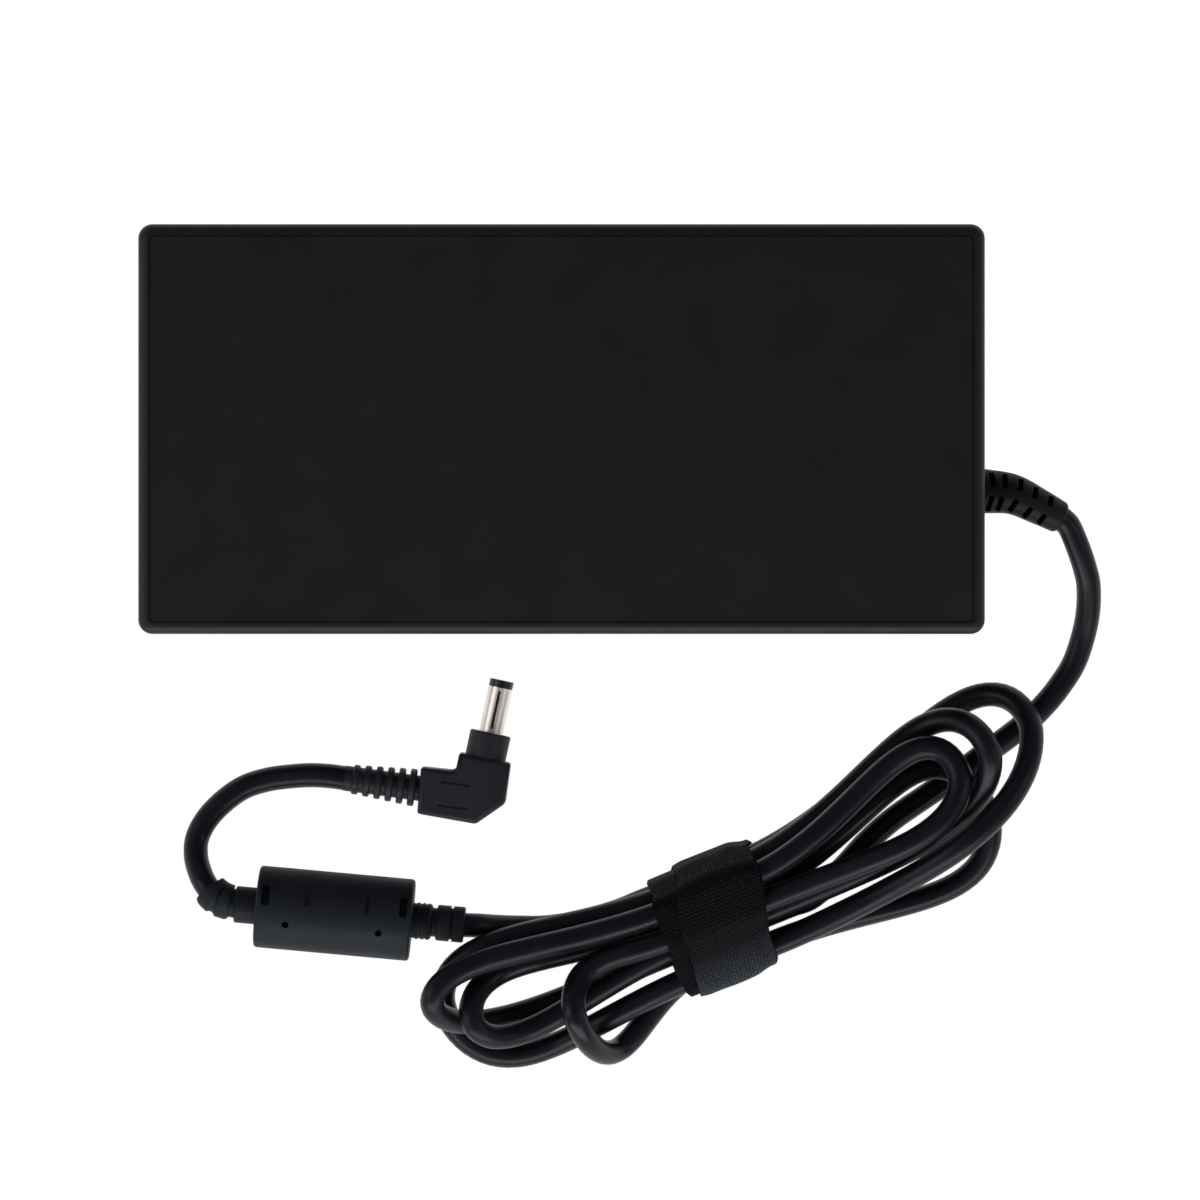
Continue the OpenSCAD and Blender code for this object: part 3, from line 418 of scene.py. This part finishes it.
def along(line, distance):
    """The place on a line at a distance from its start, and the way it faces there."""
    for near, far in zip(line, line[1:]):
        step = (far - near).length
        if distance <= step:
            break
        distance -= step
    way = (far - near).normalized()
    return near + way * distance, way


def taper(share):
    """The relief's radius at a share of its length."""
    return relief_root + (relief_tip - relief_root) * share


bm = bmesh.new()
relief_length = sum((b - a).length for a, b in zip(relief_line, relief_line[1:])) + relief_past
relief_axis = relief_line[:-1] + [lead_start]
line, radii = [exit_place - Vector((relief_inside, 0, 0))], [relief_root]
for k in range(sleeve_steps + 1):
    share = k / sleeve_steps
    line.append(along(relief_axis, share * (relief_length - tip_round))[0])
    radii.append(taper(share))
for k in range(1, tip_steps + 1):
    turn = k / tip_steps * pi / 2
    line.append(along(relief_axis, relief_length - tip_round * (1 - sin(turn)))[0])
    radii.append(relief_tip - tip_round * (1 - cos(turn)))
swept(bm, line, radii, sleeve_sides)
slots = bmesh.new()
for row, wall, slot_list in ((1, upper_wall, upper_slots), (-1, lower_wall, lower_slots)):
    for distance, lean in slot_list:
        place, way = along(relief_axis, distance)
        reach = taper(distance / relief_length) - wall
        level = Vector((way.x, way.y, 0)).normalized()
        across = Vector((-level.y, level.x, 0))
        across.rotate(Matrix.Rotation(radians(lean), 3, "Z"))
        middle = place + across * row * (reach + half_spine) / 2
        turn = Matrix((across, upright.cross(across), upright)).transposed().to_4x4()
        for side in (1, -1):
            stand = Matrix.Translation(middle + Vector((0, 0, side * (slot_floor + slot_height / 2))))
            block(slots, (reach - half_spine, slot_width, slot_height), stand @ turn)
carve(bm, slots)
bevel(bm, sharper(bm.edges, 32), sleeve_edge, 2, clamp_overlap=True)
relief_skin = finish("relief_elastomer", (0.0042, 0.0042, 0.0049), (0.006, 0.006, 0.007), 0.012, 0.00035,
                     (0.46, 0.58), 0.000012, shine=0.2)
lead_relief = add_piece("lead_strain_relief", bm, relief_skin, "moulding", "cord_strain_relief")

# Hook-and-loop strap: a 20 mm tape of woven nylon with moulded hooks, wound twice round the
# hank. The first turn shows beside the second, which ends low on the near side. Its sizes
# are in millimetres and its angles in degrees.
tape_width, tape_thickness, tape_shift, tape_taper, tape_lean = 20, 0.95, 4.8, 0.14, 0.165
tape_middle, tape_off, turn_step, turn_rise, end_round = 0.85, 0.62, 1.1, 55, 2.2
strand_radius = 3.1
tape_corners = [
    (10, 4.3, -40, 5.6), (9.4, 10.4, 5.6, 24.7), (6.6, 16.5, 24.7, 90), (0.2, 16.5, 90, 120.9),
    (-10, 10.4, 120.9, 180), (-10, 4.3, 180, 270), (10, 4.3, -90, 5.6), (9.4, 10.4, 5.6, 24.7),
    (6.6, 16.5, 24.7, 90), (0.2, 16.5, 90, 120.9), (-10, 10.4, 120.9, 180), (-10, 4.3, 180, 212),
]
second_turn = 6
corner_step, tape_step, tape_rows = 9, 0.8, 24
edge_wave, wave_pace, wave_side, wave_slice = 0.9, 0.09, 5, 1.3
ripple_height, ripple_pace, ripple_across, ripple_slice = 0.22, 0.13, 0.16, 3.7
edge_pull, edge_curl, upper_sink, lower_sink = 1.2, 0.12, (3.6, 5.5, 0.85), (7.4, 2.6, 0.2)
over_hank = 18


def span(a, b):
    """The distance between two places on the tape's line."""
    return sqrt((a[0] - b[0]) ** 2 + (a[1] - b[1]) ** 2)


def sink(across, start, width, depth):
    """How far an edge of the tape sinks beside the strands, over a width from a start."""
    return depth * ease(min(1, max(0, across - start) / width))


corner_line = []
for i, (v, z, start, end) in enumerate(tape_corners):
    turn = 0 if i < second_turn else 1
    steps = max(3, round(abs(end - start) / corner_step))
    for k in range(steps + 1):
        angle = start + (end - start) * k / steps
        lift = min(1, (angle - start) / turn_rise) if i == second_turn else turn
        grow = strand_radius + tape_off + turn_step * lift
        corner_line.append(((v + grow * cos(radians(angle)), z + grow * sin(radians(angle))), turn))
line, turns = [], []
for (a, turn_a), (b, turn_b) in zip(corner_line, corner_line[1:]):
    pieces = max(1, round(span(a, b) / tape_step))
    for k in range(pieces):
        m = k / pieces
        line.append((a[0] + (b[0] - a[0]) * m, a[1] + (b[1] - a[1]) * m))
        turns.append(turn_a + (turn_b - turn_a) * m)
line.append(corner_line[-1][0])
turns.append(corner_line[-1][1])
last = len(line) - 1
tape_length = sum(span(a, b) for a, b in zip(line, line[1:]))
half_width = tape_width / 2
bm = bmesh.new()
bmesh.ops.create_grid(bm, x_segments=last, y_segments=tape_rows, size=0.5, calc_uvs=True)
uv_layer = bm.loops.layers.uv.verify()
for face in bm.faces:
    for loop in face.loops:
        spot = loop.vert.co
        loop[uv_layer].uv = ((spot.x + 0.5) * tape_length * 0.001, (spot.y + 0.5) * tape_width * 0.001)
for vert in bm.verts:
    station = min(last, round((vert.co.x + 0.5) * last))
    across = vert.co.y * tape_width
    from_end = (last - station) * tape_length / last
    if from_end < end_round:
        corner = end_round - sqrt(max(0, end_round**2 - (end_round - from_end) ** 2))
        across *= 1 - corner * 2 / tape_width
    before, after = line[max(0, station - 1)], line[min(last, station + 1)]
    run = Vector((after[0] - before[0], after[1] - before[1])).normalized()
    outward = Vector((run.y, -run.x))
    u = across + tape_middle + tape_lean * line[station][0]
    u -= (tape_shift + tape_taper * line[station][0]) * (1 - turns[station])
    wave = noise.noise(Vector((station * wave_pace, copysign(wave_side, across), wave_slice)))
    u += edge_wave * wave * (abs(across) / half_width) ** 2
    u -= edge_pull * abs(outward.x) ** 3 * (across / half_width) ** 3
    dent = noise.noise(Vector((station * ripple_pace, across * ripple_across, ripple_slice)))
    ripple = dent * ripple_height - edge_curl * (abs(across) / half_width) ** 4
    if turns[station] > 0.99:
        ripple -= sink(across, *upper_sink)
        ripple -= sink(-across, *lower_sink)
    v = line[station][0] + outward.x * ripple
    z = max(line[station][1] + outward.y * ripple, tape_off)
    vert.co = in_hank(u, v, z)
bmesh.ops.recalc_face_normals(bm, faces=bm.faces)
tape_top = [face for face in bm.faces if face.calc_center_median().z > over_hank * 0.001]
if sum(face.normal.z * face.calc_area() for face in tape_top) < 0:
    bmesh.ops.reverse_faces(bm, faces=bm.faces)

# Its finish: rows of small hooks over a darker ground, both painted lighter towards the loose end, which lies
# low on the near side facing the front lamp: painted light, not wear.
hooks_per_metre, fuzz_per_metre, fuzz_share, hook_edge = 1350, 900, 0.35, (0.12, 0.5)
tone_start, tone_end = 50, 8
hook_tape, tree = new_material("hook_tape")
skin = give(tree.nodes["Principled BSDF"], Specular_IOR_Level=0.12)
sheet = shader(tree, "UVMap")
hooks = shader(tree, "TexVoronoi", Scale=hooks_per_metre, Randomness=0.3)
dots = colour_ramp(tree, (hook_edge[0], (1, 1, 1)), (hook_edge[1], (0, 0, 0)))
fuzz = shader(tree, "TexNoise", Scale=fuzz_per_metre, Detail=5)
way_along = shader(tree, "SeparateXYZ")
# Painted light: the share along the tape that lightens hooks and ground towards the loose end.
painted_light_share = shader(tree, "MapRange", From_Min=(tape_length - tone_start) * 0.001,
              From_Max=(tape_length - tone_end) * 0.001)
# Painted light and shade: the tones are darkest where the tape lies on top and brightest at the loose end, a
# painted highlight.
hook_tone = colour_ramp(tree, (0, (0.0042, 0.0046, 0.0062)), (0.33, (0.0054, 0.0059, 0.0078)),
                        (0.42, (0.0088, 0.0096, 0.0122)), (0.68, (0.0098, 0.0106, 0.0134)),
                        (0.94, (0.088, 0.1, 0.115)))
ground_tone = colour_ramp(tree, (0, (0.0016, 0.0017, 0.0024)), (0.33, (0.0021, 0.0022, 0.003)),
                          (0.42, (0.0027, 0.0028, 0.0038)), (0.68, (0.003, 0.0032, 0.0042)),
                          (0.94, (0.024, 0.028, 0.034)))
tone = shader(tree, "Mix")
tone.data_type = "RGBA"
height = shader(tree, "Math")
height.operation = "MULTIPLY_ADD"
height.inputs[1].default_value = fuzz_share
rough = shader(tree, "MapRange", To_Min=0.85, To_Max=0.5)
bump = shader(tree, "Bump", Strength=0.8, Distance=0.00035)
join(tree,
     (sheet.outputs[0], hooks.inputs["Vector"]),
     (hooks.outputs["Distance"], dots.inputs["Fac"]),
     (sheet.outputs[0], fuzz.inputs["Vector"]),
     (fuzz.outputs["Fac"], height.inputs[0]),
     (dots.outputs["Color"], height.inputs[2]),
     (height.outputs[0], bump.inputs["Height"]),
     (bump.outputs["Normal"], skin.inputs["Normal"]),
     (sheet.outputs[0], way_along.inputs[0]),
     (way_along.outputs["X"], painted_light_share.inputs["Value"]),
     (painted_light_share.outputs["Result"], hook_tone.inputs["Fac"]),
     (painted_light_share.outputs["Result"], ground_tone.inputs["Fac"]),
     (ground_tone.outputs["Color"], tone.inputs["A"]),
     (hook_tone.outputs["Color"], tone.inputs["B"]),
     (dots.outputs["Color"], tone.inputs["Factor"]),
     (tone.outputs["Result"], skin.inputs["Base Color"]),
     (dots.outputs["Color"], rough.inputs["Value"]),
     (rough.outputs["Result"], skin.inputs["Roughness"]))
hook_strap = add_piece("hook_strap", bm, hook_tape, "strap_fabric", "cable_strap")
wall = hook_strap.modifiers.new("tape_thickness", "SOLIDIFY")
wall.thickness = tape_thickness * 0.001
wall.offset = 0

# Ferrite bead: a ferrite tube clipped over the cord and overmoulded in black elastomer. The
# pins that held it in the mould left windows and holes; both ends run into ribbed sleeves.
# A window is its place, width, length and depth, and a sleeve is places and radii.
bead_length, bead_radius, bead_edge, window_edge = 0.0356, 0.00935, 0.0008, 0.00015
window_turn = -21
window_list = [(-0.0156, 0.0019, 0.0048, 0.0016), (0.0158, 0.0017, 0.0048, 0.0016),
               (-0.006, 0.0014, 0.0040, 0.00045), (0.0076, 0.0008, 0.0052, 0.0005)]
hole_place, hole_turns, hole_radius, hole_tool = 0.0106, (20, -86, 126), 0.0008, 0.003
right_sleeve = [(-0.0004, 0.0040), (0.0009, 0.0040), (0.00095, 0.0042), (0.0015, 0.0042), (0.0016, 0.0040),
                (0.0022, 0.0040), (0.0023, 0.0042), (0.0028, 0.0042), (0.0029, 0.0040), (0.0034, 0.0040),
                (0.0035, 0.0042), (0.0041, 0.0041), (0.0045, 0.0037), (0.0046, 0.0033), (0.0055, 0.0033),
                (0.0056, 0.0038), (0.0059, 0.0041), (0.0087, 0.0041), (0.0087, 0.0036), (0.0093, 0.0036),
                (0.0093, 0.0041), (0.0117, 0.0041), (0.0120, 0.0038)]
left_sleeve = [(-0.0174, 0.0042), (-0.0225, 0.0042), (-0.0228, 0.0039)]
bend_start = -0.0218
bend_sleeve = [(0.0, 0.0033), (0.0020, 0.0033), (0.0021, 0.0038), (0.0024, 0.0041), (0.0045, 0.0042),
               (0.0046, 0.0036), (0.0052, 0.0036), (0.0053, 0.0042), (0.0074, 0.0041), (0.0078, 0.0038),
               (0.0080, 0.0030)]


def cylinder(bm, length, radius, frame_of_it, segments):
    """A cylinder round the z axis of a frame."""
    bmesh.ops.create_cone(bm, cap_ends=True, segments=segments, radius1=radius, radius2=radius, depth=length,
                          matrix=frame_of_it)


def sleeve(bm, profile, frame_of_it, start=0):
    """A round sleeve on the x axis of a frame, from a profile that begins at start."""
    swept(bm, [frame_of_it @ Vector((start + x, 0, 0)) for x, radius in profile],
          [radius for x, radius in profile])


bm = bmesh.new()
cylinder(bm, bead_length, bead_radius, bead_frame @ Matrix.Rotation(pi / 2, 4, "Y"), 128)
bevel(bm, sharper(bm.edges, 60), bead_edge, 4)
windows = bmesh.new()
turned = bead_frame @ Matrix.Rotation(radians(window_turn), 4, "X")
for x, wide, long, deep in window_list:
    block(windows, (wide, long, 2 * deep), turned @ Matrix.Translation((x, 0, bead_radius)))
for x in (-hole_place, hole_place):
    for angle in hole_turns:
        turned = bead_frame @ Matrix.Rotation(radians(angle), 4, "X")
        cylinder(windows, hole_tool, hole_radius, turned @ Matrix.Translation((x, 0, bead_radius)), 24)
carve(bm, windows)
bevel(bm, sharper(bm.edges, 40), window_edge, 2, clamp_overlap=True)
sleeve(bm, right_sleeve, bead_frame, bead_length / 2)
sleeve(bm, left_sleeve, bead_frame)
bend_line = through([bead_frame @ Vector((bend_start, 0, 0))] + millimetres(bead_bend_route), route_steps)
swept(bm, [along(bend_line, distance)[0] for distance, radius in bend_sleeve],
      [radius for distance, radius in bend_sleeve])
bead_skin = finish("bead_elastomer", (0.0096, 0.011, 0.0138), (0.0132, 0.015, 0.0184), 0.014, 0.0004,
                   (0.52, 0.64), 0.000014, shine=0.2, tint=(0.84, 0.95, 1))
bead_cover = add_piece("bead_cover", bm, bead_skin, "moulding", "ferrite_overmould")

# Right-angle plug: black elastomer moulded round the solder joint, with grip lines on its
# faces, a round collar for the barrel and a strain relief of six rings.
plug_thick, shoulder, heel, side = 0.0104, 0.0134, 0.021, 0.006
outline = [(0.0009 - shoulder, -0.0005 - heel), (0.0011, -heel), (side + 0.0007, -0.0150), (side, -0.0058),
           (-side, -0.0058), (-side, -0.0096), (-0.0067, -0.0101), (-shoulder - 0.0005, -0.0109)]
face_edge, upright_edge, collar_edge = 0.0012, 0.0006, 0.0004
grip_size, grip_x, grip_ys = (0.0067, 0.0005, 0.0006), -0.0050, (0.0023, -0.0031)
collar_radius, collar_length, collar_seat = 0.0047, 0.0062, 0.0004
ring_count, ring_pitch, ring_width, first_ring = 6, 0.0026, 0.0016, 0.9
ring_radius, ring_taper, ring_edge, ring_slope = 0.0043, 0.00018, 0.0003, 0.00005
core_radius, core_root = 0.0029, (-0.0104, 0.0030)

bm = bmesh.new()
corners = [bm.verts.new(plug_frame @ Vector((x, y, -plug_thick / 2))) for x, y in outline]
floor_face = bm.faces.new(corners)
top = bmesh.ops.extrude_face_region(bm, geom=[floor_face])
top_verts = [v for v in top["geom"] if isinstance(v, bmesh.types.BMVert)]
bmesh.ops.translate(bm, verts=top_verts, vec=(0, 0, plug_thick))
bmesh.ops.recalc_face_normals(bm, faces=bm.faces)
rims = [edge for edge in bm.edges if abs(edge.verts[0].co.z - edge.verts[1].co.z) < 1e-6]
bevel(bm, rims, face_edge, 4)
uprights = [edge for edge in sharper(bm.edges, 25)
            if abs((edge.verts[0].co - edge.verts[1].co).normalized().z) > 0.9]
bevel(bm, uprights, upright_edge, 3)
grips = bmesh.new()
for y in grip_ys:
    for face_z in (1, -1):
        block(grips, grip_size, branch_frame @ Matrix.Translation((grip_x, y, face_z * plug_thick / 2)))
carve(bm, grips)
collar = (plug_frame @ Matrix.Translation((0, -collar_length / 2 - collar_seat / 2, 0))
          @ Matrix.Rotation(pi / 2, 4, "X"))
before = set(bm.edges)
cylinder(bm, collar_length + collar_seat, collar_radius, collar, 64)
bevel(bm, sharper([edge for edge in bm.edges if edge not in before], 60), collar_edge, 3)
rings = [(plug_relief_end, core_radius)]
for k in reversed(range(ring_count)):
    start = -shoulder - ring_pitch * (k + first_ring)
    radius = ring_radius - ring_taper * k
    rings += [(start, core_radius), (start + ring_slope, radius - ring_edge), (start + ring_edge, radius),
              (start + ring_width - ring_edge, radius), (start + ring_width - ring_slope, radius - ring_edge),
              (start + ring_width, core_radius)]
sleeve(bm, rings + [core_root], branch_frame)
plug_skin = finish("plug_elastomer", (0.0142, 0.0128, 0.0182), (0.0168, 0.0153, 0.0214), 0.008, 0.00035,
                   (0.46, 0.58), 0.000016, shine=0.3)
plug_moulding = add_piece("plug_moulding", bm, plug_skin, "moulding", "plug_overmould")

# Barrel of the plug: a rolled nickel-plated sleeve with its slit, a black insulating tip,
# and the sprung inner contact in its bore.


def dress(material, *nodes):
    """A finish for CAD nodes that keep their own shape."""
    for node in nodes:
        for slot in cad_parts[node].material_slots:
            slot.material = material


dress(finish("rolled_nickel", (0.98, 0.88, 0.77), (1.0, 0.95, 0.86), 0.003, 0.0006, (0.26, 0.36), 0.000008,
             metal=0.62, stretch=(1, 0.12, 1)), "plug_barrel")
dress(finish("tip_nylon", (0.008, 0.008, 0.0085), (0.013, 0.013, 0.014), 0.003, 0.0003, (0.3, 0.4), 0.000006),
      "plug_insulator")
dress(finish("gold_flash", (0.72, 0.5, 0.2), (0.85, 0.62, 0.28), 0.003, 0.0004, (0.22, 0.36), 0.000006,
             metal=1.0), "plug_contact")

# Covers of the brick: two moulded shells of black polycarbonate with a fine eroded texture,
# welded at the parting line; the top has a shallow line inside its rounded rim.
dress(finish("housing_texture", (0.0098, 0.0094, 0.0101), (0.0112, 0.0108, 0.0115), 0.012, 0.00032,
             (0.48, 0.53), 0.000018, shine=0.3), "top_cover", "bottom_cover")

# Feet: four pads cut from black rubber sheet and pressed into recesses of the bottom cover,
# so that the housing stands clear of the table.
dress(finish("foot_rubber", (0.006, 0.006, 0.006), (0.012, 0.012, 0.012), 0.006, 0.0005, (0.75, 0.92),
             0.00003), "rubber_feet")

# Mains inlet: a glossy moulded socket in the end of the housing with three plated brass pins,
# and the sleeved wires that run from it to the board and from the board to the lead.
dress(finish("inlet_plastic", (0.007, 0.007, 0.0075), (0.011, 0.011, 0.0115), 0.01, 0.0004, (0.28, 0.4),
             0.000006), "ac_inlet_housing")
dress(finish("plated_pins", (0.62, 0.62, 0.6), (0.78, 0.78, 0.76), 0.004, 0.0005, (0.2, 0.34), 0.000006,
             metal=1.0, stretch=(0.15, 1, 1)), "ac_inlet_pins")
dress(finish("wire_sleeve", (0.05, 0.09, 0.16), (0.08, 0.14, 0.24), 0.006, 0.0004, (0.35, 0.5), 0.00001),
      "inlet_wires", "output_wires")

# Circuit boards: green glass-epoxy boards under a solder mask, which carry the parts of the
# converter; the small control board is soldered to the main one.
dress(finish("solder_mask", (0.012, 0.085, 0.03), (0.02, 0.13, 0.05), 0.005, 0.0012, (0.28, 0.45), 0.00002,
             pattern="WAVE"), "main_board", "control_board")

# Heat path: rolled aluminium spreaders under the covers and sinks on the board, with thin
# insulating sheets between them and soft pads that fill the gaps.
dress(finish("rolled_aluminium", (0.58, 0.59, 0.6), (0.72, 0.73, 0.74), 0.02, 0.0006, (0.28, 0.42), 0.00001,
             metal=1.0, stretch=(0.08, 1, 1)),
      "lower_heat_spreader", "upper_heat_spreader", "primary_heatsink", "secondary_heatsink")
dress(finish("insulating_sheet", (0.55, 0.5, 0.38), (0.66, 0.61, 0.48), 0.01, 0.0005, (0.5, 0.65), 0.00002),
      "lower_insulator", "upper_insulator")
dress(finish("thermal_rubber", (0.3, 0.34, 0.4), (0.38, 0.42, 0.48), 0.005, 0.0006, (0.7, 0.85), 0.00004),
      "thermal_pads")

# Fuse, thermistor, filter capacitors, rectifiers and transistors: parts of the board in a
# ceramic tube, lacquer or a moulded case, soldered in by their leads.
dress(finish("ceramic_tube", (0.7, 0.68, 0.62), (0.8, 0.78, 0.72), 0.004, 0.0005, (0.3, 0.45), 0.00001),
      "line_fuse")
dress(finish("lacquered_disc", (0.012, 0.022, 0.016), (0.022, 0.036, 0.026), 0.004, 0.0008, (0.4, 0.6),
             0.00004), "inrush_thermistor")
dress(finish("yellow_film_case", (0.62, 0.4, 0.05), (0.72, 0.48, 0.08), 0.008, 0.0005, (0.35, 0.5), 0.00001),
      "x_capacitors")
dress(finish("blue_lacquer", (0.03, 0.12, 0.36), (0.05, 0.17, 0.46), 0.004, 0.0007, (0.35, 0.5), 0.00003),
      "y_capacitors")
dress(finish("epoxy_case", (0.012, 0.012, 0.013), (0.02, 0.02, 0.021), 0.005, 0.0004, (0.5, 0.68), 0.00002),
      "bridge_rectifier", "power_transistors", "output_rectifiers", "optocouplers")

# Wound parts: cores of sintered ferrite, turns of enamelled copper wire and the yellow tape
# round the transformer. The hidden core of the lead's bead is of the same ferrite.
dress(finish("sintered_ferrite", (0.03, 0.031, 0.033), (0.05, 0.051, 0.054), 0.006, 0.0004, (0.5, 0.7),
             0.00003), "filter_choke_cores", "inductor_core", "transformer_core", "ferrite_core")
dress(finish("enamelled_copper", (0.42, 0.14, 0.045), (0.56, 0.21, 0.07), 0.004, 0.0008, (0.25, 0.4), 0.00012,
             metal=0.8, pattern="WAVE"), "filter_choke_windings", "inductor_winding", "output_choke")
dress(finish("polyester_tape", (0.6, 0.42, 0.06), (0.7, 0.52, 0.1), 0.008, 0.003, (0.22, 0.35), 0.00005,
             pattern="WAVE", stretch=(0, 0, 1)), "transformer_winding")

# Storage and output capacitors: aluminium cans in a dark shrunk sleeve, soldered to the
# board by their leads.
dress(finish("shrunk_sleeve", (0.02, 0.025, 0.05), (0.03, 0.036, 0.07), 0.008, 0.0006, (0.25, 0.4), 0.00002),
      "bulk_capacitors", "output_capacitors")
